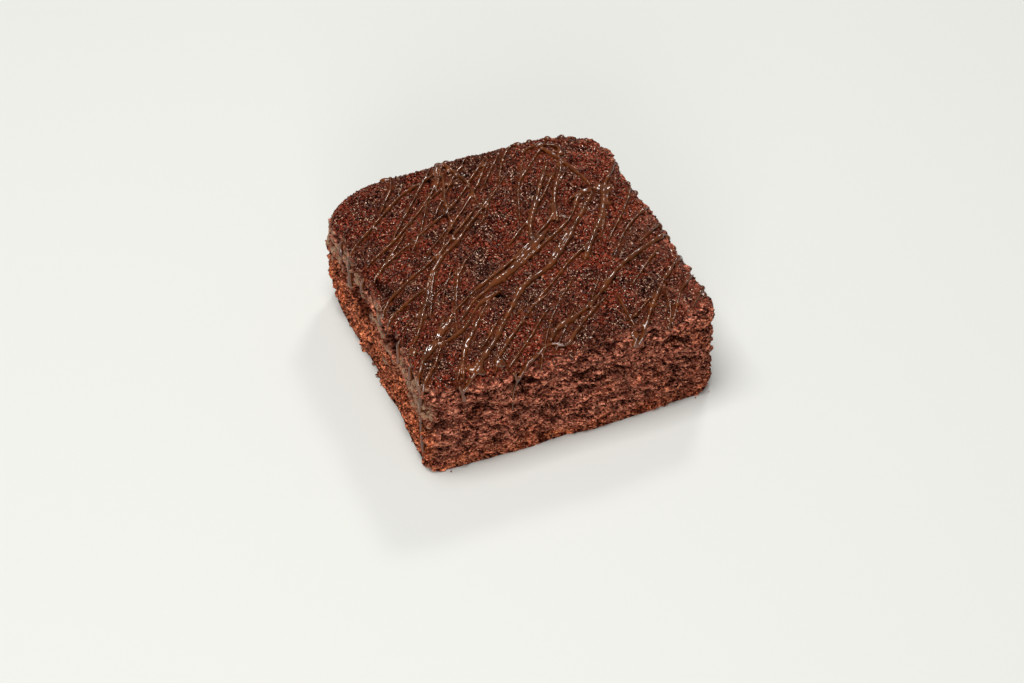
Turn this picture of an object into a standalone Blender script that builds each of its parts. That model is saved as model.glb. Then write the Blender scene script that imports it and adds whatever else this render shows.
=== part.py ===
"""A square piece of chocolate brownie, as one solid.

Metres, +Z up. The origin is on the table under the middle of the piece, the front wall faces -Y and the
left wall faces -X. The piece is a block whose four corners, four walls and top rim are each rounded and
bowed by their own amount, as a hand-cut piece is.
"""

import math

import bmesh
import bpy
from mathutils import Vector

MM = 0.001

# Driving dimensions.
WIDTH = 69.2 * MM       # along X, between the left and the right wall
DEPTH = 70.8 * MM       # along Y, between the front and the back wall
HEIGHT = 26.5 * MM      # at the middle of the top

# Each upright corner, named by the walls that meet there: how far it reaches along X and along Y, its
# roundness, which is 2 for a full curve and 1 for a corner cut off straight, and how far the top sinks to it
# from the middle.
CORNERS = {
    "front_right": {"reach_x": 5.4 * MM, "reach_y": 5.4 * MM, "roundness": 2.0, "sink": 0.7 * MM},
    "back_right": {"reach_x": 11.4 * MM, "reach_y": 11.4 * MM, "roundness": 2.0, "sink": 0.8 * MM},
    "back_left": {"reach_x": 13.0 * MM, "reach_y": 7.4 * MM, "roundness": 1.5, "sink": 1.5 * MM},
    "front_left": {"reach_x": 3.4 * MM, "reach_y": 3.4 * MM, "roundness": 2.0, "sink": 0.7 * MM},
}

# How each wall stands. bow is how far its middle stands out, rim the radius of the edge to the top, foot
# how far its lower edge is set back, and belly how far it swells at half its height.
WALLS = {
    "front": {"bow": 0.5 * MM, "rim": 4.2 * MM, "foot": 0.1 * MM, "belly": 0.5 * MM},
    "right": {"bow": -0.2 * MM, "rim": 2.8 * MM, "foot": 0.2 * MM, "belly": 0.5 * MM},
    "back": {"bow": 0.3 * MM, "rim": 2.8 * MM, "foot": 0.2 * MM, "belly": 0.4 * MM},
    "left": {"bow": -0.1 * MM, "rim": 2.4 * MM, "foot": 0.5 * MM, "belly": 0.3 * MM},
}
WALL_BLEND = 12         # the larger it is, the sooner a corner takes the values of one wall

# Slow waves along the walls: how many go round the piece, how high they are, and where they start.
WALL_WAVES = ((5, 0.12 * MM, 1.6), (9, 0.13 * MM, 1.7), (14, 0.11 * MM, 4.8))
FOOT_WAVES = ((11, 0.23 * MM, 0.4), (17, 0.15 * MM, 4.4))

# Low swells that cross the top.
TOP_SWELL = 0.25 * MM
TOP_SWELL_LENGTH = 31.0 * MM
TOP_SWELL_START = 0.7

# Faces along each side of the block.
SEGMENTS_ALONG_X = 32
SEGMENTS_ALONG_Y = 32
SEGMENTS_UP = 12

NODE_NAME = "brownie"
COLLECTION_NAME = "chocolate_brownie"
CRUMB_COLOUR = (0.105, 0.042, 0.025, 1.0)
CRUMB_ROUGHNESS = 0.75


def clear_scene():
    for obj in list(bpy.data.objects):
        bpy.data.objects.remove(obj, do_unlink=True)


def is_along(edge, axis):
    run = edge.verts[1].co - edge.verts[0].co
    return abs(run[axis]) > 0.999 * run.length


def subdivided_block():
    """A cube from -1 to 1 whose edges are cut into the segments named above."""
    block = bmesh.new()
    bmesh.ops.create_cube(block, size=2.0)
    for axis, segments in enumerate((SEGMENTS_ALONG_X, SEGMENTS_ALONG_Y, SEGMENTS_UP)):
        along = [edge for edge in block.edges if is_along(edge, axis)]
        bmesh.ops.subdivide_edges(block, edges=along, cuts=segments - 1, use_grid_fill=True)
    return block


def corner_near(x, y):
    end = "back" if y > 0 else "front"
    side = "right" if x > 0 else "left"
    return CORNERS[f"{end}_{side}"]


def rounded_corner(x, y):
    """Takes a point on the edge of the plain rectangle to the edge of the one with round corners."""
    corner = corner_near(x, y)
    past_x = 1 - (WIDTH / 2 - abs(x)) / corner["reach_x"]
    past_y = 1 - (DEPTH / 2 - abs(y)) / corner["reach_y"]
    if past_x <= 0 or past_y <= 0:
        return x, y
    power = corner["roundness"]
    shrink = max(past_x, past_y) / (past_x ** power + past_y ** power) ** (1 / power)
    new_x = WIDTH / 2 - corner["reach_x"] * (1 - past_x * shrink)
    new_y = DEPTH / 2 - corner["reach_y"] * (1 - past_y * shrink)
    return math.copysign(new_x, x), math.copysign(new_y, y)


def wall_weights(x, y):
    """How much each wall counts at a point of the outline: 1 along a wall, shared between two at a corner."""
    reach = {
        "right": x / (WIDTH / 2),
        "left": -x / (WIDTH / 2),
        "back": y / (DEPTH / 2),
        "front": -y / (DEPTH / 2),
    }
    raised = {wall: max(share, 0.0) ** WALL_BLEND for wall, share in reach.items()}
    total = sum(raised.values())
    return {wall: share / total for wall, share in raised.items()}


def at_wall(x, y, name):
    """One of the values in WALLS, blended between walls at the corners."""
    return sum(share * WALLS[wall][name] for wall, share in wall_weights(x, y).items())


def waves(turn, table):
    return sum(height * math.sin(count * turn + start) for count, height, start in table)


def outline(u, v):
    """The point of the outline, at half height, in the direction of (u, v) on the edge of the unit square."""
    x, y = rounded_corner(u * WIDTH / 2, v * DEPTH / 2)
    along = min(abs(u), abs(v))
    out = at_wall(x, y, "bow") * (1 - along ** 2) + waves(math.atan2(y, x), WALL_WAVES)
    outward = Vector((x, y)).normalized()
    return Vector((x, y)) + outward * out


def wall_offset(x, y, share):
    """How far the wall stands out at this share of its height."""
    foot = (at_wall(x, y, "foot") + waves(math.atan2(y, x), FOOT_WAVES)) * (1 - share) ** 3
    return at_wall(x, y, "belly") * math.sin(math.pi * share) - foot


def top_height(x, y):
    out = (2 * x / WIDTH) ** 2 * (2 * y / DEPTH) ** 2
    turn_x = math.tau * x / TOP_SWELL_LENGTH
    turn_y = math.tau * y / TOP_SWELL_LENGTH + TOP_SWELL_START
    return HEIGHT - corner_near(x, y)["sink"] * out + TOP_SWELL * math.sin(turn_x) * math.cos(turn_y)


def place(corner):
    """The place on the brownie of a point of the block that runs from -1 to 1."""
    u, v, w = corner
    ring = max(abs(u), abs(v))
    if ring == 0:
        return Vector((0.0, 0.0, top_height(0.0, 0.0) if w > 0 else 0.0))
    edge = outline(u / ring, v / ring)
    rim = at_wall(edge.x, edge.y, "rim")
    inset = (1 - ring) * edge.length
    drop = (1 - w) / 2 * HEIGHT
    if inset < rim and drop < rim:
        across = rim - inset
        up = rim - drop
        shrink = max(across, up) / math.hypot(across, up)
        inset = rim - across * shrink
        drop = rim - up * shrink
    share = 1 - drop / HEIGHT
    offset = wall_offset(edge.x, edge.y, share) * ring ** 4
    flat = edge * ((edge.length - inset + offset) / edge.length)
    return Vector((flat.x, flat.y, top_height(flat.x, flat.y) * share))


def centre_over_origin(block):
    """Moves the block along X and Y until its bounding box is centred on the origin."""
    for axis in (0, 1):
        low = min(vertex.co[axis] for vertex in block.verts)
        high = max(vertex.co[axis] for vertex in block.verts)
        for vertex in block.verts:
            vertex.co[axis] -= (low + high) / 2


def chocolate_crumb():
    material = bpy.data.materials.new("chocolate_crumb")
    material.use_nodes = True
    shader = material.node_tree.nodes["Principled BSDF"]
    shader.inputs["Base Color"].default_value = CRUMB_COLOUR
    shader.inputs["Roughness"].default_value = CRUMB_ROUGHNESS
    shader.inputs["Metallic"].default_value = 0.0
    return material


def make_brownie(collection):
    block = subdivided_block()
    for vertex in block.verts:
        vertex.co = place(vertex.co)
    centre_over_origin(block)
    bmesh.ops.recalc_face_normals(block, faces=block.faces)
    mesh = bpy.data.meshes.new(NODE_NAME)
    block.to_mesh(mesh)
    block.free()
    mesh.materials.append(chocolate_crumb())
    mesh.shade_smooth()
    brownie = bpy.data.objects.new(NODE_NAME, mesh)
    collection.objects.link(brownie)


def main():
    clear_scene()
    collection = bpy.data.collections.new(COLLECTION_NAME)
    bpy.context.scene.collection.children.link(collection)
    make_brownie(collection)


main()
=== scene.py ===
"""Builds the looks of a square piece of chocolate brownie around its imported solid.

The baked piece is two closed meshes that share one relief and one material: the crumb, which is the four
cut walls and the underside, and the crust, which is the top with its rounded rim. Chocolate drizzle lies
over the crust, and sugar grains and loose crumbs lie on both. Lengths in the tables and in the relief are
millimetres. The front wall faces -Y and the left wall faces -X.
"""

import math
import random

import bmesh
import bpy
import numpy as np
from bpy.props import FloatProperty, FloatVectorProperty, IntProperty, PointerProperty
from mathutils import Euler, Matrix, Vector, noise
from mathutils.bvhtree import BVHTree
from mathutils.kdtree import KDTree


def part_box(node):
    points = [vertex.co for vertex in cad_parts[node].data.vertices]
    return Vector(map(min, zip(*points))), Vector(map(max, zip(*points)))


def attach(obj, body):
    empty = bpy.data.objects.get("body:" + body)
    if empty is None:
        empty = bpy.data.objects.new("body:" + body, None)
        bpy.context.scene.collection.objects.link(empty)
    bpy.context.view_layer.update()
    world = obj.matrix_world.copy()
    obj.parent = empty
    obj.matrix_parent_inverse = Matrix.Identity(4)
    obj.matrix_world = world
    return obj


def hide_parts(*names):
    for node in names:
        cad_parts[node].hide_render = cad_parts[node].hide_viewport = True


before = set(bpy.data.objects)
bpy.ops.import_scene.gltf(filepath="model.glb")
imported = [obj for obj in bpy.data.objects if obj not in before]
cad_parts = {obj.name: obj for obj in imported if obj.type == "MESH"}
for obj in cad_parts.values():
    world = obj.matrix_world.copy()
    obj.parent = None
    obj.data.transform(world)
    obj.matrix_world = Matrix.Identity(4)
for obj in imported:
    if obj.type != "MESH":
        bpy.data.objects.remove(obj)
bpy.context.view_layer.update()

bl_info = {
    "name": "Chocolate Brownie",
    "version": (1, 0, 0),
    "blender": (4, 5, 0),
    "location": "View3D > Sidebar > Brownie",
    "description": "Builds a piece of chocolate brownie with its crust, crumb and drizzle",
    "category": "Add Mesh",
}

MM = 0.001
BODY = "root"
NODE = "brownie"
BAKE_MAP = "OFBake"

LOW, HIGH = (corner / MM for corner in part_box(NODE))
TOP = HIGH.z

# Depths below the top: where the crust ends on the wall, where the crumb ends under the crust, and where
# they cross.
CRUST_FOOT = 6.5
CRUMB_HEAD = 2.6
SEAM = 4.6
SEAM_DIP = 0.5

# How much of the plan the flat part of the crust takes before it turns down over the rim.
CRUST_SHARE = 0.965

# How far in each ring of the underside lies from the one before, on a base of radius 1.
UNDER_RINGS = (0.012, 0.03, 0.08, 0.2)

# The flat map of the crumb: how wide and how tall each wall's strip is, how far apart the strips are, and
# the middle and half the side of the underside's square.
STRIP_WIDTH = 0.70
STRIP_HEIGHT = 0.235
STRIP_STEP = 0.245
STRIP_MARGIN = 0.005
UNDER_MIDDLE = Vector((0.86, 0.20))
UNDER_HALF = 0.13

# The drizzle: the distance between the points of a line, the distance between the points of a drip, the
# sides of a strand, the points of a line for each bead on it, and the heading of the fine lines in degrees.
LINE_STEP = 0.45
DRIP_STEP = 0.4
LINE_SIDES = 10
POINTS_PER_KNOT = 22
HEADING = 48.0

# The narrowest that a line gets, and the width from which a line soaks the crust round it.
NARROWEST = 0.36
SOAKING_WIDTH = 0.5

# How near to the edge of the plan a line begins to run over the rim, and how fast it then drops.
RIM_REACH = 1.5
RIM_DROP = 1.2

# The drip down the front left corner: how far outside the left wall and how far behind the front wall it is
# looked for, and the heights that it runs between.
CORNER_DRIP_OUT = 3.0
CORNER_DRIP_BACK = 4.6
CORNER_DRIP_HEAD = 26.2
CORNER_DRIP_FOOT = 1.5

# The share of the fused drizzle's faces that are kept, and the passes that smooth it.
DRIZZLE_KEPT = 0.33
DRIZZLE_PASSES = 7

# The passes that soften the crust and the crumb before their relief.
SHAPE_PASSES = 6

# How many crumbs lie on the table, and how many shapes of grain there are.
FALLEN_CRUMBS = 26
GRAIN_KINDS = 6

# Each light: its name, its place in metres, the side of its square, its power in watts and its colour.
LIGHTS = (
    ("overhead", (-0.20, -0.03, 0.98), 0.55, 10.6, (1.0, 0.99, 0.97)),
    ("back_window", (0.44, 0.54, 0.72), 0.15, 2.3, (1.0, 0.99, 0.98)),
    ("front_fill", (-0.42, -0.90, 0.30), 0.45, 5.5, (1.0, 0.98, 0.95)),
)
WORLD_STRENGTH = 0.17

# How far the camera aims to the right of the origin and above it, in metres.
AIM = (-0.00064, -0.0019)

# Pockets that stand out on the walls: the place along the wall, the height, the half length, the half
# height and the depth of each.
FRONT_POCKETS = (
    (-33.0, 14.0, 2.6, 0.8, 1.5), (-27.0, 8.5, 1.7, 0.7, 1.3), (-26.0, 5.5, 1.7, 0.6, 1.2),
    (-18.5, 9.5, 1.9, 0.6, 1.2), (-21.0, 21.0, 2.4, 0.5, 1.0), (-12.0, 20.5, 3.4, 0.7, 1.3),
    (-13.5, 11.5, 2.0, 0.6, 1.0), (-9.0, 10.5, 2.2, 0.5, 1.0), (-5.0, 7.0, 1.0, 0.7, 1.2),
    (-1.0, 6.0, 1.5, 0.6, 1.2), (0.5, 18.0, 3.6, 0.6, 1.2), (-8.0, 17.0, 1.8, 0.5, 0.9),
    (6.0, 16.0, 1.8, 0.5, 0.9), (11.0, 17.0, 2.2, 0.6, 1.1), (16.5, 20.5, 1.2, 1.0, 1.7),
    (15.0, 15.0, 1.8, 0.5, 1.0), (26.5, 12.5, 3.3, 0.7, 1.4), (23.5, 9.0, 1.3, 0.5, 1.0),
    (25.5, 4.0, 2.6, 0.5, 1.1), (12.0, 5.0, 2.2, 0.4, 0.8), (-22.5, 13.5, 2.0, 0.4, 0.9),
)
LEFT_POCKETS = (
    (7.5, 14.5, 4.6, 2.8, 3.8), (-12.0, 20.0, 4.0, 2.2, 3.4), (11.5, 21.5, 0.9, 4.5, 2.2),
    (20.0, 13.5, 2.6, 1.0, 2.0), (-2.5, 15.5, 2.4, 1.1, 2.2), (-20.0, 15.5, 3.0, 1.2, 2.2),
    (-28.0, 10.0, 2.2, 0.9, 1.6), (27.0, 19.0, 1.6, 0.9, 1.6), (1.0, 22.0, 1.8, 1.0, 2.0),
    (-24.0, 20.5, 1.8, 0.8, 1.4), (-15.0, 12.0, 1.8, 0.7, 1.4), (17.5, 18.0, 2.0, 0.8, 1.6),
    (-5.5, 19.5, 1.2, 0.8, 1.4), (23.5, 22.0, 1.4, 0.8, 1.4),
)

# Holes in the crust: the place in plan, the half width along X, the half length along Y and the depth.
CRUST_HOLES = (
    (-32.5, 0.5, 0.9, 2.6, 1.5), (-31.5, -4.0, 0.8, 1.8, 0.8), (-9.0, -13.5, 1.0, 0.9, 1.1),
    (-10.0, 16.0, 0.7, 0.9, 0.8), (-28.5, 15.5, 1.0, 1.6, 0.6), (-32.5, -8.0, 0.9, 1.0, 0.9),
    (-5.0, -11.0, 0.7, 1.0, 0.8), (-9.0, 30.0, 0.7, 1.1, 0.7), (23.0, 13.5, 0.8, 0.8, 0.7),
    (-33.0, -18.0, 0.8, 1.4, 0.8), (24.0, 23.5, 0.6, 1.0, 0.6), (-20.5, -36.0, 2.6, 0.5, 0.8),
    (3.0, -36.0, 2.2, 0.5, 0.7), (16.5, -17.0, 0.7, 0.7, 0.6),
)

# Lines of drizzle: a width, then the points in plan that the line bends through. A point past the rim
# lies on the wall below it.
DRIZZLE_LINES = (
    # across the front left corner
    (1.1, (-35.5, -31.0), (-34.5, -29.5), (-31.5, -25.5), (-29.5, -23.0), (-28.0, -22.5), (-26.5, -23.0),
     (-23.5, -22.0), (-20.5, -20.5), (-14.5, -15.0), (-8.5, -12.5)),
    (0.9, (-35.0, -33.0), (-33.5, -31.5), (-30.5, -29.0), (-28.0, -25.5), (-26.5, -23.0)),
    (1.1, (-34.5, -23.5), (-30.5, -18.5), (-25.0, -9.5), (-20.0, -0.5), (-9.0, 8.5), (1.5, 18.5)),
    (0.8, (-35.5, -12.0), (-28.5, -8.0), (-22.5, -5.0)),
    (0.8, (-35.0, -8.5), (-29.0, -3.5), (-16.5, 4.5), (-4.5, 14.5), (-1.0, 17.5)),
    (0.8, (-31.5, -26.5), (-25.5, -20.5), (-21.0, -16.0)),
    # up from the front rim
    (0.9, (-26.5, -20.5), (-20.0, -14.5), (-10.0, -8.0), (1.0, -2.0), (11.5, 6.0), (13.5, 11.0)),
    (1.0, (-20.5, -18.0), (-14.0, -12.5), (-3.5, -7.5), (14.0, 3.0), (20.5, 10.5), (24.0, 11.0)),
    (0.9, (-26.0, -35.0), (-25.0, -32.5), (-22.5, -26.5), (-19.5, -22.5), (-15.0, -18.0)),
    (1.7, (-23.5, -33.5), (-19.5, -30.5), (-15.5, -26.5), (-9.5, -20.0), (-3.0, -13.0), (7.5, -7.0),
     (20.5, 7.0)),
    (1.1, (-27.0, -36.5), (-22.5, -34.0), (-20.0, -31.5)),
    (0.9, (-18.5, -35.0), (-16.0, -31.0), (-5.5, -21.5), (8.0, -10.5), (19.5, -3.0)),
    (1.0, (-15.5, -37.5), (-9.0, -34.0), (-5.0, -32.0), (-1.5, -33.5), (2.5, -30.5), (12.5, -23.0)),
    (0.7, (-15.5, -35.0), (-9.0, -29.5), (-0.5, -21.5)),
    (1.6, (-4.5, -31.5), (-1.5, -28.5), (5.0, -26.0), (10.5, -22.5)),
    (1.2, (10.5, -22.5), (15.0, -18.5), (20.5, -14.5), (29.5, -10.5), (34.0, -8.5)),
    (1.2, (13.5, -37.0), (16.5, -35.0), (22.5, -27.5), (29.0, -20.5), (34.5, -16.0)),
    (0.7, (22.5, -35.5), (24.5, -30.5), (25.5, -26.0)),
    (0.6, (14.5, -34.5), (14.5, -29.0), (15.0, -23.5)),
    # through the middle
    (2.0, (-10.5, -10.5), (-2.5, -6.0), (9.5, 2.5)),
    (1.2, (5.0, -8.0), (14.0, 0.5), (24.0, 10.5)),
    (1.8, (13.0, -10.0), (19.5, -1.5), (25.0, 6.5), (27.0, 11.5)),
    (0.7, (19.5, -11.5), (26.5, -3.5), (34.0, 1.5)),
    (0.7, (21.0, -5.5), (29.0, 3.5), (34.0, 11.0)),
    (0.9, (27.0, -9.0), (34.0, -5.0)),
    (1.5, (4.5, 1.0), (7.0, 7.0), (11.5, 14.0), (15.5, 20.5), (18.5, 25.0)),
    (1.3, (12.5, 4.5), (14.0, 9.5), (17.0, 16.0), (20.5, 21.5), (22.5, 27.5)),
    (1.2, (18.0, 10.5), (21.5, 11.5), (25.0, 12.0)),
    (0.8, (27.0, 11.5), (34.0, 19.5)),
    # back and left
    (0.8, (-33.0, 2.0), (-24.5, 8.5), (-11.5, 16.0), (-3.5, 22.5), (5.5, 31.5)),
    (0.8, (-33.0, 6.5), (-20.0, 16.0), (-10.0, 25.5), (-5.0, 35.0)),
    (0.9, (-34.5, 13.0), (-27.0, 19.0), (-17.5, 26.5), (-8.0, 31.0), (-4.5, 35.0)),
    (0.8, (-23.5, 23.0), (-19.0, 29.5), (-17.0, 35.0)),
    (0.9, (-9.0, 25.5), (-4.0, 34.5)),
    (0.8, (-5.5, 31.0), (-9.0, 19.0), (-10.5, 11.0)),
    (0.9, (-4.5, 35.0), (-3.5, 32.0), (-1.5, 25.0), (-2.0, 17.0), (-2.5, 12.0)),
    (0.7, (9.5, 32.5), (6.0, 28.0), (2.0, 23.0)),
    (0.7, (5.5, 22.5), (9.0, 29.0), (14.0, 35.0)),
    (0.7, (-12.5, 10.0), (-2.0, 20.5), (6.0, 31.0)),
    (0.8, (9.0, 20.0), (15.5, 26.5), (21.5, 32.5)),
    # the loop near the back right corner
    (0.9, (15.0, 31.0), (19.0, 32.0), (23.0, 30.0), (23.0, 27.0)),
    (1.0, (19.0, 32.0), (22.0, 25.0), (23.5, 18.5), (24.5, 13.0)),
    # short ends near the right rim
    (0.7, (19.5, -21.5), (30.0, -12.5)),
    (0.7, (28.5, -27.5), (34.0, -23.0)),
    (0.6, (29.0, -33.0), (33.5, -28.5)),
)

# Drips down the front and the left wall: the place along the wall, the heights that the drip runs between,
# and its width.
FRONT_DRIPS = (
    (-27.0, 26.0, 20.5, 1.1), (14.0, 25.0, 22.5, 1.2), (22.5, 26.5, 24.5, 0.9),
    (-14.5, 25.5, 22.5, 0.9), (-1.5, 26.5, 25.0, 0.9),
)
LEFT_DRIPS = (
    (13.0, 26.0, 16.5, 1.0), (5.0, 26.0, 20.5, 0.9), (-7.5, 26.0, 21.5, 0.9), (19.0, 25.5, 21.0, 0.8),
    (-18.0, 26.0, 19.5, 0.9), (-25.5, 26.0, 21.0, 0.8),
)

# Beads where a line ended or turned: the place in plan, the radius along the line and the radius across.
BEADS = (
    (23.0, 27.5, 1.1, 0.8), (19.5, 32.0, 1.0, 0.8), (-3.5, 31.5, 1.0, 0.7), (15.0, 31.0, 0.9, 0.7),
    (26.0, 12.0, 1.4, 1.0), (28.0, 10.5, 1.5, 0.8), (17.5, 20.0, 1.3, 0.7), (21.0, 22.5, 1.7, 0.7),
    (25.5, 6.0, 1.2, 0.7), (-23.5, -33.0, 1.4, 1.0), (-22.0, -34.0, 1.6, 0.9), (-17.0, -33.5, 1.3, 1.0),
    (-5.0, 35.0, 1.0, 0.9), (-3.0, 35.0, 0.9, 0.8), (-18.5, 34.5, 1.3, 0.8), (34.0, -5.0, 0.9, 0.9),
    (34.5, -8.5, 1.1, 0.8), (34.5, -12.0, 0.8, 0.8), (34.5, -15.5, 1.0, 0.9), (34.0, 19.5, 0.9, 0.8),
    (34.0, 12.0, 0.9, 0.6), (34.0, 8.0, 0.8, 0.7), (15.0, 34.5, 1.1, 0.8), (18.0, 34.5, 0.8, 0.8),
    (22.5, 34.0, 0.9, 0.7), (26.0, 33.5, 0.8, 0.7), (31.0, 30.0, 0.8, 0.7), (14.0, -35.5, 1.2, 0.9),
    (23.0, -34.5, 1.0, 0.6), (-33.0, -23.0, 1.2, 0.7), (-11.5, 8.0, 0.9, 0.5), (-15.0, -17.5, 1.0, 0.6),
    (14.5, 5.5, 1.2, 0.5), (-26.5, 18.5, 0.9, 0.5), (34.0, -27.5, 0.8, 0.7), (33.5, -30.0, 0.8, 0.7),
)


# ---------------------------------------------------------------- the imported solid, to build against

def solid_tree():
    """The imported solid's surface as a search tree, in millimetres."""
    solid = bmesh.new()
    solid.from_mesh(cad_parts[NODE].data)
    bmesh.ops.scale(solid, vec=Vector((1.0, 1.0, 1.0)) / MM, verts=solid.verts)
    tree = BVHTree.FromBMesh(solid)
    solid.free()
    return tree


SOLID = solid_tree()


def wall_point(heading, height):
    """The point of the solid's wall in a heading in plan, at a height."""
    outward = Vector((heading.x * HIGH.x, heading.y * HIGH.y, 0.0))
    start = outward * 1.4 + Vector((0.0, 0.0, height))
    return SOLID.ray_cast(start, -outward)[0]


def top_point(x, y):
    """The point of the solid's top at a place in plan, or None past its edge."""
    return SOLID.ray_cast(Vector((x, y, TOP + 5.0)), Vector((0.0, 0.0, -1.0)))[0]


def nearest_point(place):
    """The point of the solid's surface nearest to a place, and its normal."""
    point, normal, _, _ = SOLID.find_nearest(place)
    return point, normal


def around_square(lap):
    """The heading, on the unit square's edge, after this share of a lap that starts at the front right."""
    side, along = divmod(lap * 4.0 % 4.0, 1.0)
    run = 2.0 * along - 1.0
    return (Vector((1.0, run)), Vector((-run, 1.0)), Vector((-1.0, -run)), Vector((run, -1.0)))[int(side)]


# ---------------------------------------------------------------- the relief of the baked surface

def ease(low, high, value):
    """0 below low, 1 above high and a soft step between them. low may be the larger one."""
    share = min(max((value - low) / (high - low), 0.0), 1.0)
    return share * share * (3.0 - 2.0 * share)


def layered(place, along, up, start):
    """Noise from -1 to 1 that is stretched along the layers of the cake."""
    return noise.noise(Vector((place.x * along + start, place.y * along - start, place.z * up + start)))


def pocket(along, height, pockets):
    """How deep the pockets of one wall are at a place on it."""
    deepest = 0.0
    for middle, level, half_length, half_height, depth in pockets:
        across = (height - level) / half_height
        if abs(across) > 1.6 or abs(along - middle) > 1.6 * half_length:
            continue
        away = math.hypot((along - middle) / half_length, across)
        deepest = max(deepest, depth * ease(1.40, 0.75, away))
    return deepest


def crumb_relief(place, normal):
    """How far the torn crumb of a wall stands out, and how hollow it is, from 0 to 1, which sets its painted
    shade.
    """
    rough = noise.noise(place * 2.3)
    # the layers of the cake run level, but wander up and down
    wander = 1.3 * noise.noise(place * 0.24) + 0.4 * noise.noise(place * 0.9)
    bent = place + Vector((0.0, 0.0, wander))
    ledges = 0.90 * layered(bent, 0.13, 0.60, 2.3) + 0.95 * layered(bent, 0.36, 1.35, 6.1)
    # long cracks between the layers, broken up by a gate, and small pores
    gate = ease(-0.16, 0.12, layered(bent, 0.19, 0.55, 8.8))
    crack = gate * ease(0.19, 0.08, abs(layered(bent, 0.26, 0.80, 3.1)))
    pores = ease(0.22, 0.40, layered(bent, 0.62, 1.9, 9.4))
    lump = noise.voronoi(Vector((bent.x * 0.75, bent.y * 0.75, bent.z * 1.5)) * 1.15)[0][0]
    set_pocket = 0.0
    if normal.y < -0.6:
        set_pocket = pocket(place.x, bent.z, FRONT_POCKETS)
    elif normal.x < -0.6:
        set_pocket = pocket(place.y, bent.z, LEFT_POCKETS)
    # the foot is set back unevenly
    plan = Vector((place.x, place.y, 0.0))
    ragged = 0.45 + 1.5 * noise.noise(plan * 0.17) + 1.0 * noise.noise(plan * 0.55)
    foot = ease(4.0, 0.0, place.z) * ragged

    slow = 0.40 * noise.noise(place * 0.10) + 0.30 * noise.noise(place * 0.31)
    height = slow + ledges + 0.20 * rough - 0.34 * lump ** 1.6 - 1.3 * crack - 0.7 * pores - set_pocket - foot
    # dips are the low parts between ledges and the rims of lumps, darkened with painted shade
    dips = 0.5 * ease(0.05, -0.45, ledges) + 0.35 * ease(0.55, 0.85, lump + 0.15 * rough)
    return height, min(crack + 0.75 * pores + set_pocket + dips, 1.0)


def crust_relief(place, soaked):
    """How far the sugary crust stands out, and how hollow it is (its painted shade), from 0 to 1. Soaked
    crust is smoother.
    """
    slow = 0.22 * noise.noise(place * 0.09) + 0.15 * noise.noise(place * 0.27)
    grain = noise.voronoi(place * 1.65)[0][0]
    rough = noise.noise(place * 2.9)
    pits = ease(0.30, 0.52, noise.noise(place * 0.62))
    hole = 0.0
    for x, y, half_width, half_length, depth in CRUST_HOLES:
        if abs(place.x - x) < 2.0 * half_width and abs(place.y - y) < 2.0 * half_length:
            away = math.hypot((place.x - x) / half_width, (place.y - y) / half_length)
            hole = max(hole, depth * ease(1.3, 0.5, away + 0.4 * rough))
    sandy = (1.0 - 0.7 * soaked) * (0.09 * rough - 0.42 * grain ** 1.6) - 0.1 * soaked
    # the hollow value gives painted shade in the pits, the holes and between the grains
    hollow = min(0.5 * pits + hole + 0.8 * ease(0.42, 0.78, grain + 0.2 * rough), 1.0)
    return slow + sandy - 0.32 * pits - hole, hollow


def smear_at(place, normal):
    """How much a wall is smeared smooth by the knife, from 0 to 1: mostly high on the left wall."""
    streak = ease(-0.5, 0.0, layered(place, 0.11, 0.5, 5.7))
    low = 12.5 + 4.5 * noise.noise(Vector((place.x, place.y * 0.16, 3.0))) + 2.0 * noise.noise(place * 0.5)
    left = ease(0.35, 0.7, -normal.x) * ease(low, low + 3.0, place.z)
    front = 0.3 * ease(0.5, 0.9, -normal.y) * ease(18.0, 23.0, place.z)
    return min((left + front) * streak, 1.0)


def warm_lit_at(place, normal):
    """How much painted light makes a wall's crumb lighter and orange, 0 to 1: mostly near its foot and low on
    the left wall.
    """
    patch = 0.5 * noise.noise(place * 0.22) + 0.3 * noise.noise(place * 0.6)
    foot = 0.7 * ease(6.0, 0.5, place.z)
    left = 0.8 * ease(0.3, 0.8, -normal.x) * ease(20.0, 11.0, place.z)
    return min(max(max(foot, left) + patch, 0.0), 1.0)


def relief(place, normal, seam_side, soaked):
    """The offset of a point of the baked surface and its crust, hollow, smear and warmth (painted light)
    values.

    seam_side is 1 for the crust, which dives under the surface below the seam, and -1 for the crumb,
    which dives above it.
    """
    depth = TOP - place.z
    lowered = 0.04 * place.x + 1.3 * ease(0.2, 0.7, -normal.x)
    edge = depth + lowered + 1.1 * noise.noise(place * 0.45) + 0.8 * noise.noise(place * 0.11)
    crust = ease(3.4, 1.4, edge) if normal.z > -0.5 else 0.0
    crumb_height, crumb_hollow = crumb_relief(place, normal)
    crust_height, crust_hollow = crust_relief(place, soaked)
    smear = smear_at(place, normal) * (1.0 - crust) * (1.0 - crumb_hollow)
    wall_height = crumb_height * (1.0 - 0.45 * smear)
    height = crust * crust_height + (1.0 - crust) * wall_height
    hollow = crust * crust_hollow + (1.0 - crust) * crumb_hollow
    seam = SEAM + 0.8 * noise.noise(place * 0.5)
    dive = SEAM_DIP * ease(seam, seam + 1.2 * seam_side, depth)
    return height - dive, crust, hollow, smear, warm_lit_at(place, normal)


def under_relief(place):
    """The flat, fine crumb of the underside."""
    return -0.18 * noise.voronoi(place * 0.9)[0][0] - 0.10 * abs(noise.noise(place * 0.25))


# hollow sets the painted shade of pores, cracks, pockets and gaps in the material
SURFACE_VALUES = ("crust", "hollow", "smear", "warmth", "soaked")


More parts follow.
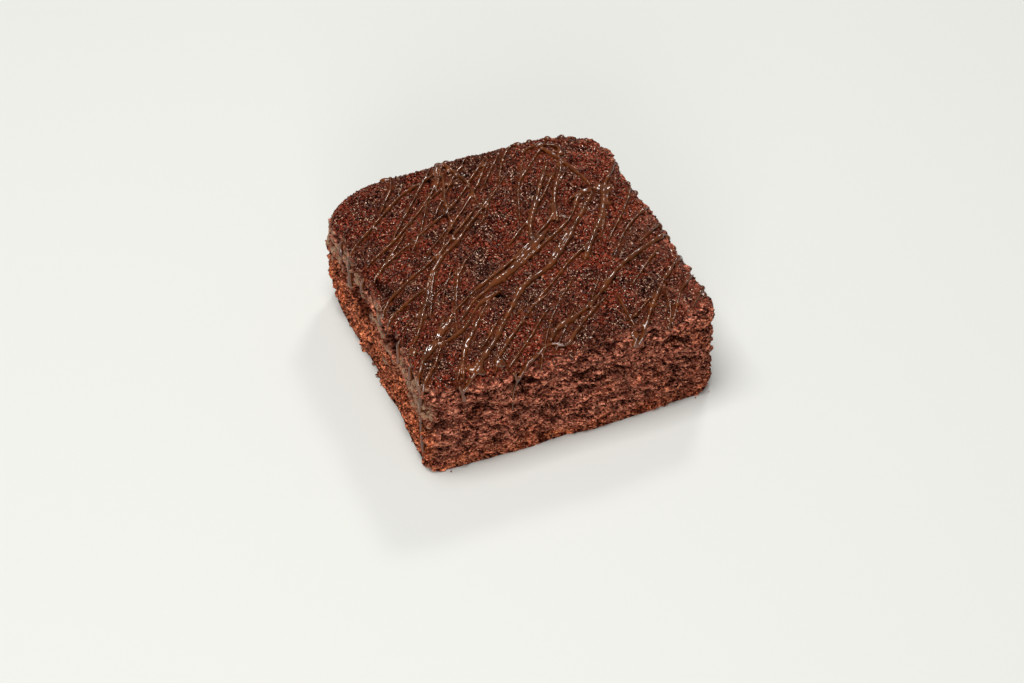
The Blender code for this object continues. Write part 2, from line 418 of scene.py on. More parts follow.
def press_relief(mesh, seam_side, lines):
    """Moves every point of a mesh, in millimetres, out or in by the relief, and keeps the relief's values.

    lines is a search tree of points of the drizzle, which soaks the surface round it.
    """
    layers = [mesh.verts.layers.float.new(name) for name in SURFACE_VALUES]
    mesh.normal_update()
    moves = []
    for vert in mesh.verts:
        if vert.normal.z < -0.6:
            height, values = under_relief(vert.co), (0.0, 0.25, 0.0, 0.3, 0.0)
        else:
            # the soaked value smooths the crust here, and in the material it darkens the crust beside the
            # lines with painted shade
            away = lines.find(vert.co)[2] + 0.5 * noise.noise(vert.co * 0.7)
            soaked = ease(1.4, 0.4, away)
            height, *values = (*relief(vert.co, vert.normal, seam_side, soaked), soaked)
        for layer, value in zip(layers, values):
            vert[layer] = value
        moves.append(vert.normal * height)
    for vert, move in zip(mesh.verts, moves):
        vert.co += move
        vert.co.z = max(vert.co.z, 0.02)


# ---------------------------------------------------------------- making objects from meshes

def add_piece(mesh, name, material):
    """Links a mesh, in millimetres, as a piece at the origin that rides on the brownie's body."""
    bmesh.ops.scale(mesh, vec=Vector((MM, MM, MM)), verts=mesh.verts)
    data = bpy.data.meshes.new(name)
    mesh.to_mesh(data)
    mesh.free()
    return add_object(data, name, material)


def add_object(data, name, material):
    """Links a finished mesh, in metres, as a piece that rides on the brownie's body."""
    data.materials.append(material)
    data.shade_smooth()
    piece = bpy.data.objects.new(name, data)
    bpy.context.scene.collection.objects.link(piece)
    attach(piece, BODY)
    return piece


def is_along(edge, axis):
    run = edge.verts[1].co - edge.verts[0].co
    return abs(run[axis]) > 0.999 * run.length


def divided_block(segments):
    """A cube from -1 to 1 whose edges along X, Y and Z are cut into these numbers of segments."""
    block = bmesh.new()
    bmesh.ops.create_cube(block, size=2.0)
    for axis, count in enumerate(segments):
        along = [edge for edge in block.edges if is_along(edge, axis)]
        bmesh.ops.subdivide_edges(block, edges=along, cuts=count - 1, use_grid_fill=True)
    return block


def divided_tube(columns, rows):
    """A closed tube of radius 1 and height 1 around Z, with this many columns and rows of faces."""
    tube = bmesh.new()
    bmesh.ops.create_cone(tube, cap_ends=True, segments=columns, radius1=1.0, radius2=1.0, depth=1.0)
    along = [edge for edge in tube.edges if is_along(edge, 2)]
    bmesh.ops.subdivide_edges(tube, edges=along, cuts=rows - 1, use_grid_fill=True)
    return tube


def soften(mesh, verts, passes):
    """Smooths some points of a mesh."""
    axes = {"use_axis_x": True, "use_axis_y": True, "use_axis_z": True}
    for _ in range(passes):
        bmesh.ops.smooth_vert(mesh, verts=verts, factor=0.5, **axes)


# ---------------------------------------------------------------- the crust

def crust_place(corner):
    """The place on the solid of a point of the block that becomes the crust."""
    u, v, w = corner
    ring = max(abs(u), abs(v))
    if ring == 0.0:
        return top_point(0.0, 0.0)
    heading = Vector((u / ring, v / ring))
    edge = wall_point(heading, TOP / 2) * CRUST_SHARE
    if w > 0.999:
        return top_point(edge.x * ring, edge.y * ring)
    start = top_point(edge.x, edge.y)
    foot = wall_point(heading, TOP - CRUST_FOOT)
    share = (1.0 - w) / 2
    shoulder = Vector((foot.x, foot.y, start.z))
    return nearest_point(start.lerp(shoulder, share).lerp(shoulder.lerp(foot, share), share))[0]


def unfold_crust(mesh):
    """A flat map of the crust: its plan, with its sides folded out round it."""
    layer = mesh.loops.layers.uv.new(BAKE_MAP)
    reach = max(HIGH.x, HIGH.y) + CRUST_FOOT
    for face in mesh.faces:
        for loop in face.loops:
            place = loop.vert.co
            outward = Vector((place.x / HIGH.x, place.y / HIGH.y))
            square = max(abs(outward.x), abs(outward.y))
            out = max(TOP - 1.5 - place.z, 0.0) * ease(0.85, 0.95, square)
            flat = Vector((place.x, place.y)) * (1.0 + out / max(HIGH.x, HIGH.y))
            loop[layer].uv = flat / (2.0 * reach) + Vector((0.5, 0.5))


def make_crust(spacing, lines):
    """The top of the piece, as a closed shell whose sides run down under the surface of the walls."""
    columns_x = round(2.0 * HIGH.x / spacing)
    columns_y = round(2.0 * HIGH.y / spacing)
    rows = round((CRUST_FOOT + 1.0) / spacing * 0.8)
    shell = divided_block((columns_x, columns_y, 1))
    under = [face for face in shell.faces if face.calc_center_median().z < -0.999]
    bmesh.ops.delete(shell, geom=under, context="FACES")
    upright = [edge for edge in shell.edges if is_along(edge, 2)]
    bmesh.ops.subdivide_edges(shell, edges=upright, cuts=rows - 1, use_grid_fill=True)
    for vert in shell.verts:
        vert.co = crust_place(vert.co)
    soften(shell, [vert for vert in shell.verts if not vert.is_boundary], SHAPE_PASSES)
    shell.normal_update()
    press_relief(shell, 1.0, lines)
    unfold_crust(shell)
    rim = [edge for edge in shell.edges if edge.is_boundary]
    bmesh.ops.contextual_create(shell, geom=rim)
    bmesh.ops.recalc_face_normals(shell, faces=shell.faces)
    return shell


# ---------------------------------------------------------------- the crumb

def crumb_place(corner):
    """The place on the solid of a point of the tube that becomes the crumb."""
    lap = math.atan2(corner.y, corner.x) / math.tau
    heading = around_square(lap)
    radius = math.hypot(corner.x, corner.y)
    if radius < 0.999:
        foot = wall_point(heading, 0.05)
        return Vector((foot.x * radius, foot.y * radius, 0.0))
    height = (corner.z + 0.5) * (TOP - CRUMB_HEAD)
    return wall_point(heading, max(height, 0.05))


def unfold_crumb(mesh, laps):
    """A flat map of the crumb: its walls as strips one above the other, and the underside beside them."""
    layer = mesh.loops.layers.uv.new(BAKE_MAP)
    for face in mesh.faces:
        middle = sum(laps[loop.vert.index][0] for loop in face.loops) / len(face.loops)
        is_wall = all(laps[loop.vert.index][1] > 0.999 for loop in face.loops) and len(face.verts) == 4
        for loop in face.loops:
            lap, _ = laps[loop.vert.index]
            place = loop.vert.co
            if is_wall:
                if abs(lap - middle) > 0.5:
                    lap += math.copysign(1.0, middle - lap)
                side = int(middle * 4.0)
                along = STRIP_WIDTH * (lap * 4.0 - side)
                up = STRIP_STEP * (side % 4) + STRIP_HEIGHT * place.z / TOP
                loop[layer].uv = (STRIP_MARGIN + along, STRIP_MARGIN + up)
            else:
                across = Vector((place.x / HIGH.x, place.y / HIGH.y))
                loop[layer].uv = UNDER_MIDDLE + UNDER_HALF * across


def make_crumb(spacing, lines):
    """The four walls and the underside, as one closed mesh whose head lies under the crust."""
    columns = round(4.0 * (HIGH.x + HIGH.y) / (1.3 * spacing))
    rows = round((TOP - CRUMB_HEAD) / (0.84 * spacing))
    tube = divided_tube(columns, rows)
    for inset in UNDER_RINGS:
        # the face with the most corners at the lower end of the tube
        under = min(tube.faces, key=lambda face: (-len(face.verts), face.calc_center_median().z))
        bmesh.ops.inset_individual(tube, faces=[under], thickness=inset)
    tube.verts.index_update()
    laps = [(math.atan2(v.co.y, v.co.x) / math.tau % 1.0, math.hypot(v.co.x, v.co.y)) for v in tube.verts]
    for vert in tube.verts:
        vert.co = crumb_place(vert.co)
    # the head and the foot stay sharp
    head = max(vert.co.z for vert in tube.verts) - 0.01
    soften(tube, [vert for vert in tube.verts if 0.3 < vert.co.z < head], SHAPE_PASSES)
    bmesh.ops.recalc_face_normals(tube, faces=tube.faces)
    press_relief(tube, -1.0, lines)
    unfold_crumb(tube, laps)
    return tube


# ---------------------------------------------------------------- the drizzle

def laid_on_top(x, y):
    """A point of the solid's top, or of its wall where the place in plan lies past the rim."""
    inside = top_point(x * 0.96, y * 0.96)
    past = max(abs(x) - HIGH.x + RIM_REACH, abs(y) - HIGH.y + RIM_REACH, 0.0)
    if inside is None:
        inside = Vector((x, y, TOP - 2.0))
    return nearest_point(Vector((x, y, inside.z - RIM_DROP * past)))


def smooth_path(points, step):
    """Points this far apart on a smooth curve through the given ones."""
    ends = [points[0] * 2.0 - points[1], *points, points[-1] * 2.0 - points[-2]]
    path = []
    for before, start, end, after in zip(ends, ends[1:], ends[2:], ends[3:]):
        count = max(round((end - start).length / step), 1)
        for index in range(count):
            t = index / count
            pull = (end - before) * 0.5
            push = (after - start) * 0.5
            path.append(
                start * (2 * t ** 3 - 3 * t ** 2 + 1) + pull * (t ** 3 - 2 * t ** 2 + t)
                + end * (3 * t ** 2 - 2 * t ** 3) + push * (t ** 3 - t ** 2)
            )
    path.append(points[-1].copy())
    return path


def strand(points, normals, widths, thickness):
    """A closed strand of chocolate with a low round section, sunk a little into what it lies on."""
    rows = len(points)
    tube = divided_tube(LINE_SIDES, rows - 1)
    for vert in tube.verts:
        row = round((vert.co.z + 0.5) * (rows - 1))
        run = (points[min(row + 1, rows - 1)] - points[max(row - 1, 0)]).normalized()
        across = normals[row].cross(run).normalized()
        up = run.cross(across)
        height = thickness * widths[row] ** 0.5
        side = vert.co.x * widths[row] / 2.0
        rise = vert.co.y * (height if vert.co.y > 0.0 else 0.35)
        vert.co = points[row] + across * side + up * rise
    bmesh.ops.recalc_face_normals(tube, faces=tube.faces)
    return tube


def merge_into(whole, part):
    """Adds one mesh to another and frees it."""
    data = bpy.data.meshes.new("part")
    part.to_mesh(data)
    part.free()
    whole.from_mesh(data)
    bpy.data.meshes.remove(data)


def line_path(width, plan, settings, start):
    """The points, normals and widths along one line of drizzle that is laid through its points in plan."""
    wander = settings.wander / MM
    path = smooth_path([Vector(point) for point in plan], LINE_STEP)
    points, normals, widths = [], [], []
    for index, flat in enumerate(path):
        along = index * LINE_STEP
        drift_x = noise.noise(Vector((along * 0.16, start, 0.0)))
        drift_y = noise.noise(Vector((start, along * 0.16, 9.0)))
        point, normal = laid_on_top(flat.x + drift_x * wander, flat.y + drift_y * wander)
        slow_swell = 0.7 * noise.noise(Vector((along * 0.22, start, 4.0)))
        quick_swell = 0.5 * noise.noise(Vector((along * 0.7, start, 7.0)))
        taper = 0.35 + 0.65 * ease(-0.8, 2.2, min(index, len(path) - 1 - index) * LINE_STEP)
        points.append(point + normal * 0.02)
        normals.append(normal)
        full = width * settings.width_share * (1.0 + slow_swell + quick_swell)
        widths.append(max(full * taper, NARROWEST))
    return points, normals, widths


def line_paths(settings):
    """The paths of all the lines, the drawn ones and the fine ones between them."""
    lines = [*DRIZZLE_LINES, *fine_lines(settings)]
    return [line_path(width, plan, settings, number * 3.7) for number, (width, *plan) in enumerate(lines)]


def line_tree(settings):
    """A search tree of the points of all the lines that are not very fine."""
    wet = []
    for points, _, widths in line_paths(settings):
        if max(widths) > SOAKING_WIDTH:
            wet += points
    tree = KDTree(len(wet))
    for index, point in enumerate(wet):
        tree.insert(point, index)
    tree.balance()
    return tree


def wall_drip(wall, along, high, low, width, settings):
    """A drip that has run down the front or the left wall and thickened at its end."""
    points, normals, widths = [], [], []
    count = max(round((high - low) / DRIP_STEP), 3)
    for index in range(count + 1):
        share = index / count
        shift = along + 0.35 * math.sin(share * 4.0 + along)
        plan = Vector((shift, LOW.y - 1.0)) if wall == "front" else Vector((LOW.x - 1.0, shift))
        point, normal = nearest_point(Vector((plan.x, plan.y, high + (low - high) * share)))
        points.append(point - normal * 0.05)
        normals.append(normal)
        widths.append(width * (0.75 + 0.5 * ease(0.55, 0.95, share) - 0.5 * ease(0.9, 1.05, share)))
    return strand(points, normals, widths, settings.thickness / MM)


def corner_drip(settings):
    """The glaze that has run down the front left corner, from the rim to the foot."""
    corner = Vector((LOW.x - CORNER_DRIP_OUT, LOW.y + CORNER_DRIP_BACK, 0.0))
    points, normals, widths = [], [], []
    for height in np.arange(CORNER_DRIP_HEAD, CORNER_DRIP_FOOT, -DRIP_STEP):
        drift = 0.5 * noise.noise(Vector((0.0, 0.0, height * 0.2)))
        point, normal = nearest_point(corner + Vector((0.0, drift, height)))
        points.append(point - normal * 0.1)
        normals.append(normal)
        widths.append(0.75 + 0.35 * noise.noise(Vector((0.0, 3.0, height * 0.4))))
    return strand(points, normals, widths, settings.thickness / MM)


def bead(x, y, along, across):
    """A low rounded blob of chocolate that lies along the lines."""
    point, normal = laid_on_top(x, y)
    blob = bmesh.new()
    bmesh.ops.create_icosphere(blob, subdivisions=3, radius=1.0)
    lying = normal.to_track_quat("Z", "X").to_matrix().to_4x4()
    turned = Matrix.Rotation(math.radians(HEADING), 4, "Z")
    sized = Matrix.Diagonal((along, across, 0.40 + 0.25 * across, 1.0))
    bmesh.ops.transform(blob, matrix=Matrix.Translation(point) @ lying @ turned @ sized, verts=blob.verts)
    return blob


def knots(paths, seed):
    """Places along the lines where the chocolate has gathered in a small bead."""
    dice = random.Random(seed)
    found = []
    for points, _, widths in paths:
        for _ in range(round(len(points) / POINTS_PER_KNOT)):
            index = dice.randrange(len(points))
            size = dice.uniform(0.45, 0.75) * (0.5 + 0.5 * widths[index])
            found.append((points[index].x, points[index].y, size * 1.35, size))
    return found


def fine_lines(settings):
    """The many thin lines between the drawn ones, all in about the same direction."""
    dice = random.Random(settings.seed)
    lines = []
    for _ in range(settings.fine_lines):
        middle = Vector((dice.uniform(-30.0, 30.0), dice.uniform(-31.0, 31.0)))
        angle = math.radians(dice.gauss(HEADING, 9.0))
        run = Vector((math.cos(angle), math.sin(angle))) * dice.uniform(4.0, 15.0)
        bend = Vector((-run.y, run.x)) * dice.uniform(-0.08, 0.08)
        lines.append((dice.uniform(0.4, 0.75), middle - run, middle + bend, middle + run))
    return [line for line in lines if all(abs(p.x) < HIGH.x and abs(p.y) < HIGH.y for p in line[1:])]


def make_drizzle(settings):
    """All the drizzle as one skin: the strands and beads are fused by a voxel remesh and then smoothed."""
    whole = bmesh.new()
    paths = line_paths(settings)
    for path in paths:
        merge_into(whole, strand(*path, settings.thickness / MM))
    for wall, drips in (("front", FRONT_DRIPS), ("left", LEFT_DRIPS)):
        for drip in drips:
            merge_into(whole, wall_drip(wall, *drip, settings))
    merge_into(whole, corner_drip(settings))
    for spot in (*BEADS, *knots(paths, settings.seed)):
        merge_into(whole, bead(*spot))
    bmesh.ops.scale(whole, vec=Vector((MM, MM, MM)), verts=whole.verts)
    data = bpy.data.meshes.new("strands")
    whole.to_mesh(data)
    whole.free()
    return fused(data, settings.voxel)


def fused(data, voxel):
    """The mesh after a fine voxel remesh, a few passes of smoothing and a thinning to the share kept."""
    helper = bpy.data.objects.new("fusing", data)
    bpy.context.scene.collection.objects.link(helper)
    remesh = helper.modifiers.new("fuse", "REMESH")
    remesh.mode = "VOXEL"
    remesh.voxel_size = voxel
    smooth = helper.modifiers.new("smooth", "SMOOTH")
    smooth.factor = 0.5
    smooth.iterations = DRIZZLE_PASSES
    thin = helper.modifiers.new("thin", "DECIMATE")
    thin.ratio = DRIZZLE_KEPT
    graph = bpy.context.evaluated_depsgraph_get()
    result = bpy.data.meshes.new_from_object(helper.evaluated_get(graph))
    bpy.data.objects.remove(helper)
    bpy.data.meshes.remove(data)
    return result


# ---------------------------------------------------------------- grains and crumbs

def random_spots(piece, count, weight, seed):
    """Random places on a piece with their normals, in metres, more of them where weight is large."""
    dice = random.Random(seed)
    mesh = bmesh.new()
    mesh.from_mesh(piece.data)
    faces = [face for face in mesh.faces if len(face.verts) == 4]
    shares = [face.calc_area() * weight(face.calc_center_median() / MM, face.normal) for face in faces]
    spots = []
    for face in dice.choices(faces, weights=shares, k=count):
        a, b, c, d = (vert.co for vert in face.verts)
        place = a.lerp(b, dice.random()).lerp(d.lerp(c, dice.random()), dice.random())
        spots.append((place, face.normal.copy()))
    mesh.free()
    return spots


def scatter(name, spots, smallest, largest, sink, seed):
    """A mesh of small uneven grains, one at each spot, lying at random turns."""
    dice = random.Random(seed)
    kinds = []
    for kind in range(GRAIN_KINDS):
        grain = bmesh.new()
        bmesh.ops.create_icosphere(grain, subdivisions=1, radius=1.0)
        for vert in grain.verts:
            vert.co *= 1.0 + 0.45 * noise.noise(vert.co * 1.7 + Vector((kind * 5.0, 0.0, 0.0)))
        kinds.append(np.array([vert.co[:] for vert in grain.verts]))
        # the same for every kind
        faces = np.array([[vert.index for vert in face.verts] for face in grain.faces])
        grain.free()
    corners = []
    for place, normal in spots:
        size = smallest + (largest - smallest) * dice.random() ** 2.5
        turn = Euler([dice.uniform(0.0, math.tau) for _ in range(3)]).to_matrix()
        squash = Matrix.Diagonal((1.0, dice.uniform(0.65, 1.0), dice.uniform(0.5, 0.9)))
        shape = np.array(turn @ squash) * size
        centre = np.array(place + normal * size * sink)
        corners.append(dice.choice(kinds) @ shape.T + centre)
    count = len(corners[0])
    all_faces = faces[None, :, :] + count * np.arange(len(corners))[:, None, None]
    data = bpy.data.meshes.new(name)
    data.from_pydata(np.concatenate(corners).tolist(), [], all_faces.reshape(-1, 3).tolist())
    return data


def fallen_crumbs(seed):
    """Spots on the table round the foot of the piece where a few crumbs have fallen."""
    dice = random.Random(seed)
    spots = []
    for _ in range(FALLEN_CRUMBS):
        lap = dice.random()
        heading = around_square(lap)
        foot = wall_point(heading, 0.5)
        away = 1.0 + abs(dice.gauss(0.0, 0.012)) + 0.004
        spots.append((Vector((foot.x * away, foot.y * away, 0.0)) * MM, Vector((0.0, 0.0, 1.0))))
    return spots


# ---------------------------------------------------------------- materials

class Wire:
    """An output socket of a finish. Arithmetic on it adds Math nodes."""

    def __init__(self, finish, socket):
        self.finish = finish
        self.socket = socket

    def math(self, operation, *values):
        return self.finish.node("ShaderNodeMath", {"operation": operation}, dict(enumerate(values)))

    def __add__(self, other):
        return self.math("ADD", self, other)

    def __sub__(self, other):
        return self.math("SUBTRACT", self, other)

    def __rsub__(self, other):
        return self.math("SUBTRACT", other, self)

    def __mul__(self, other):
        return self.math("MULTIPLY", self, other)

    __radd__ = __add__
    __rmul__ = __mul__

    def between(self, low, high):
        """0 below low, 1 above high and a soft step between them."""
        settings = {"interpolation_type": "SMOOTHSTEP"}
        return self.finish.node("ShaderNodeMapRange", settings, {0: self, 1: low, 2: high, 3: 0.0, 4: 1.0})

    def ramp(self, *stops):
        """The colour at this value on a ramp of (position, colour) stops."""
        return self.finish.node("ShaderNodeValToRGB", {"stops": stops}, {0: self})


class Finish:
    """A material with one Principled shader, and the nodes that feed it."""

    def __init__(self, name, **constants):
        self.material = bpy.data.materials.new(name)
        self.material.use_nodes = True
        self.tree = self.material.node_tree
        self.shader = self.tree.nodes["Principled BSDF"]
        for socket, value in constants.items():
            self.shader.inputs[socket.replace("_", " ")].default_value = value
        place = self.node("ShaderNodeTexCoord", {}, {}, "Object")
        self.place = self.node("ShaderNodeVectorMath", {"operation": "SCALE"}, {0: place, "Scale": 1.0 / MM})

    def node(self, kind, settings, inputs, output=0):
        """Adds a node, with its settings first and then its sockets' values or links. Gives one output."""
        node = self.tree.nodes.new(kind)
        for name, value in settings.items():
            if name == "stops":
                self.set_stops(node.color_ramp, value)
            else:
                setattr(node, name, value)
        for name, value in inputs.items():
            if isinstance(value, Wire):
                self.tree.links.new(value.socket, node.inputs[name])
            else:
                node.inputs[name].default_value = value
        return Wire(self, node.outputs[output])

    @staticmethod
    def set_stops(ramp, stops):
        while len(ramp.elements) < len(stops):
            ramp.elements.new(0.5)
        for element, (position, colour) in zip(ramp.elements, stops):
            element.position = position
            element.color = (*colour, 1.0)

    def noise(self, scale, detail=2.0, place=None):
        """Soft noise with this many features a millimetre, from 0 to 1."""
        inputs = {"Vector": place or self.place, "Scale": scale, "Detail": detail, "Roughness": 0.6}
        return self.node("ShaderNodeTexNoise", {}, inputs)

    def cells(self, scale, place=None):
        """A random value for each grain of a pattern with this many grains a millimetre."""
        inputs = {"Vector": place or self.place, "Scale": scale}
        colour = self.node("ShaderNodeTexVoronoi", {}, inputs, "Color")
        return self.node("ShaderNodeSeparateColor", {}, {0: colour}, "Red")

    def distance(self, scale, place=None):
        """How far each point is from the middle of its grain."""
        inputs = {"Vector": place or self.place, "Scale": scale}
        return self.node("ShaderNodeTexVoronoi", {}, inputs, "Distance")

    def stretched(self, *factors):
        """The place, with its X, Y and Z multiplied by these factors."""
        inputs = {0: self.place, 1: factors}
        return self.node("ShaderNodeVectorMath", {"operation": "MULTIPLY"}, inputs)

    def attribute(self, name):
        return self.node("ShaderNodeAttribute", {"attribute_name": name}, {}, "Fac")

    def mix(self, share, first, second, blend="MIX"):
        """Two colours mixed."""
        first, second = (c if isinstance(c, Wire) else (*c, 1.0) for c in (first, second))
        settings = {"data_type": "RGBA", "blend_type": blend}
        return self.node("ShaderNodeMix", settings, {0: share, 6: first, 7: second}, 2)

    def tinted(self, share, colour, tint):
        """A colour, mixed by this share with itself times a tint."""
        return self.mix(share, colour, self.mix(1.0, colour, tint, "MULTIPLY"))

    def larger(self, first, second):
        return first.math("MAXIMUM", first, second)

    def feed(self, socket, wire):
        self.tree.links.new(wire.socket, self.shader.inputs[socket])

    def bump(self, height, distance, strength=1.0, under=None):
        inputs = {"Height": height, "Distance": distance * MM, "Strength": strength}
        if under:
            inputs["Normal"] = under
        return self.node("ShaderNodeBump", {}, inputs, "Normal")


def crumb_look(finish, settings, flat, smear, warmth):
    """The torn walls: colour, how much the knife glazed them with painted sheen, and painted shade in gaps.
    """
    tone = finish.noise(0.9, 5.0) * 0.6 + finish.cells(2.0, flat) * 0.4
    stops = ((0.33, settings.crumb_dark), (0.50, settings.crumb_colour), (0.68, settings.crumb_light))
    grit = finish.noise(3.4, 2.0).ramp((0.35, (0.55, 0.55, 0.55)), (0.62, (1.25, 1.25, 1.25)))
    colour = finish.tinted(1.0, tone.ramp(*stops), grit)
    # painted light: the crumb is tinted lighter and more orange near the foot and low on the left wall
    colour = finish.tinted(warmth * 0.8, colour, settings.crumb_warm_lit)
    # knife smear: glossier and smoother, and drawn pale tan as a painted sheen
    glaze_and_sheen = (finish.noise(0.55, 4.0) * 0.6 + 0.4 * smear).between(0.42, 0.62) * smear
    colour = finish.mix(glaze_and_sheen, colour, settings.smear_and_sheen_colour)
    # painted shade: thin dark lines along the cracks between the layers, and darker pits between the grains
    layers = finish.stretched(0.20, 0.20, 1.0)
    crack_shade = 1.0 - finish.noise(1.0, 4.0, layers).between(0.40, 0.46)
    pits = finish.distance(2.0, flat).between(0.45, 0.85)
    gap_shade = finish.larger(0.75 * pits, 0.95 * crack_shade) * (1.0 - 0.8 * glaze_and_sheen)
    return colour, glaze_and_sheen, gap_shade


def crust_look(finish, settings, crust, soaked):
    """The sugary top: its colour, sugar as painted glints, the drizzle's soaking with painted shade, painted
    gap shade.
    """
    sand = finish.noise(1.6, 4.0) * 0.5 + finish.cells(3.0) * 0.5
    stops = ((0.30, settings.crust_dark), (0.50, settings.crust_colour), (0.72, settings.crust_light))
    top = sand.ramp(*stops)
    cool = finish.noise(0.07, 3.0).between(0.44, 0.60)
    red = finish.tinted(1.0, top, settings.crust_red)
    colour = finish.mix(cool, red, finish.tinted(1.0, top, settings.crust_cool))
    dark = finish.noise(0.16, 3.0).between(0.50, 0.62)
    colour = finish.tinted(dark * 0.75, colour, settings.crust_shade)
    # painted glints: a few crust grains are drawn as pale sugar, and these also get a glossy coat
    sugar = (finish.cells(4.1) + 0.07 * dark).between(0.94, 0.965)
    colour = finish.mix(sugar, colour, settings.sugar_glint_colour)
    # soaked film near the drizzle: glossier and smoother, and darker, the darkness partly painted shade
    # beside the lines
    film_and_shade = (finish.noise(0.5, 3.0) * 0.5 + soaked * 0.8 - 0.1).between(0.45, 0.90) * crust
    colour = finish.mix(film_and_shade * 0.75, colour, settings.film_and_shade_colour)
    # painted shade in the gaps between the crust's grains
    gap_shade = finish.distance(3.0).between(0.40, 0.72) * (1.0 - sugar) * (1.0 - 0.7 * film_and_shade)
    return colour, sugar, film_and_shade, gap_shade


def baked_chocolate(settings):
    """The crumb and the crust: their looks meet where the crust value changes."""
    finish = Finish("baked_chocolate", Specular_IOR_Level=0.02, Metallic=0.0, Coat_Roughness=0.16)
    crust, hollow, smear, warmth, soaked = (finish.attribute(name) for name in SURFACE_VALUES)
    flat = finish.stretched(1.0, 1.0, 1.8)
    crumb, glaze_and_sheen, crumb_gap_shade = crumb_look(finish, settings, flat, smear, warmth)
    top, sugar, film_and_shade, crust_gap_shade = crust_look(finish, settings, crust, soaked)

    # painted shade: hollows, pores, cracks and gaps are darkened towards the pore shade tint
    gap_shade = crust * crust_gap_shade + (1.0 - crust) * crumb_gap_shade
    shade = finish.larger(hollow * 0.95, gap_shade * 0.8)
    finish.feed("Base Color", finish.tinted(shade, finish.mix(crust, crumb, top), settings.pore_shade))
    finish.feed("Roughness", 0.80 - 0.40 * glaze_and_sheen - 0.30 * film_and_shade)
    finish.feed("Coat Weight", 0.7 * sugar * crust + 0.3 * glaze_and_sheen)
    fine = finish.bump(finish.noise(2.6, 3.0), 0.30, 0.8)
    grains = crust * (1.0 - 0.6 * film_and_shade) * finish.distance(3.0) + (1.0 - crust) * finish.distance(2.0, flat)
    finish.feed("Normal", finish.bump(grains, -0.32, 1.0, fine))
    return finish.material


def set_chocolate(settings):
    """The drizzle: set milk chocolate with a glossy skin."""
    finish = Finish("set_chocolate", Specular_IOR_Level=0.80, Metallic=0.0)
    tone = finish.noise(0.35, 3.0)
    finish.feed("Base Color", tone.ramp((0.30, settings.dark_colour), (0.65, settings.colour)))
    finish.feed("Roughness", 0.09 + 0.13 * finish.noise(0.8, 3.0))
    finish.feed("Normal", finish.bump(finish.noise(0.6, 1.0), 0.20, 0.3))
    return finish.material


def grain_finish(name, dark, light, roughness, specular):
    """Loose grains, whose tone runs from dark to light from place to place."""
    finish = Finish(name, Specular_IOR_Level=specular, Roughness=roughness, Metallic=0.0)
    tone = finish.noise(1.1, 2.0) * 0.6 + finish.noise(0.12, 1.0) * 0.4
    finish.feed("Base Color", tone.ramp((0.36, dark), (0.62, light)))
    return finish.material


def pale_surface(colour):
    """The matt finish of the floor."""
    finish = Finish("pale_floor", Roughness=0.85, Specular_IOR_Level=0.2)
    finish.shader.inputs["Base Color"].default_value = (*colour, 1.0)
    return finish.material


# ---------------------------------------------------------------- what a user may change

def length_property(name, description, default):
    return FloatProperty(
        name=name, description=description, default=default, min=0.0, unit="LENGTH", precision=5)


def angle_property(name, description, degrees):
    return FloatProperty(name=name, description=description, default=math.radians(degrees), subtype="ANGLE")


def colour_property(name, description, default):
    return FloatVectorProperty(
        name=name, description=description, default=default, size=3, min=0.0, max=2.0, subtype="COLOR")


class BrownieCakeSettings(bpy.types.PropertyGroup):
    crust_spacing: length_property("Crust detail", "Distance between points of the crust", 0.000264)
    crumb_spacing: length_property("Crumb detail", "Distance between points of the walls", 0.00026)
    crumb_colour: colour_property("Crumb", "Middle tone of the walls", (0.430, 0.114, 0.070))
    crumb_dark: colour_property("Dark crumb", "Darkest tone of the walls", (0.048, 0.011, 0.007))
    crumb_light: colour_property("Light crumb", "Lightest tone of the walls", (0.900, 0.350, 0.218))
    # painted light: lighter, more orange crumb near the foot and low on the left wall
    crumb_warm_lit: colour_property("Warm crumb", "Tint low on the walls", (1.36, 1.08, 0.68))
    # knife smear drawn pale tan as a painted sheen
    smear_and_sheen_colour: colour_property("Smear", "Where the knife smeared the wall", (0.345, 0.205, 0.125))
    crust_colour: colour_property("Crust", "Middle tone of the top", (0.145, 0.027, 0.011))
    crust_dark: colour_property("Dark crust", "Darkest tone of the top", (0.012, 0.003, 0.002))
    crust_light: colour_property("Light crust", "Lightest tone of the top", (0.370, 0.106, 0.058))
    crust_cool: colour_property("Cool crust", "Tint of the cooler patches of the top", (0.75, 0.84, 0.95))
    crust_shade: colour_property("Dark patches", "Tint of the darkest patches of the top", (0.28, 0.34, 0.44))
    crust_red: colour_property("Red crust", "Tint of the redder patches of the top", (1.20, 0.88, 0.88))
    # painted glints of sugar in the crust
    sugar_glint_colour: colour_property("Sugar", "Sugar that shows in the crust", (0.620, 0.370, 0.235))
    # soaked crust beside the drizzle, its darkness partly painted shade
    film_and_shade_colour: colour_property("Film", "Crust that the drizzle has soaked", (0.080, 0.017, 0.005))
    # painted shade colour for pores, cracks and gaps
    pore_shade: colour_property("Pore shade", "Tint inside the pores", (0.11, 0.08, 0.08))


class BrownieDrizzleSettings(bpy.types.PropertyGroup):
    thickness: length_property("Thickness", "Height of a line one millimetre wide", 0.00074)
    wander: length_property("Wander", "How far a line strays from its path", 0.0003)
    voxel: length_property("Voxel", "Detail of the fused drizzle", 0.00016)
    width_share: FloatProperty(name="Width", description="Share of each line's width", default=0.82, min=0.1)
    fine_lines: IntProperty(name="Fine lines", description="Thin lines between the rest", default=28, min=0)
    seed: IntProperty(name="Seed", description="Another number gives other fine lines", default=4)
    colour: colour_property("Chocolate", "Lighter tone of the drizzle", (0.130, 0.031, 0.004))
    dark_colour: colour_property("Dark chocolate", "Darker tone of the drizzle", (0.050, 0.011, 0.001))


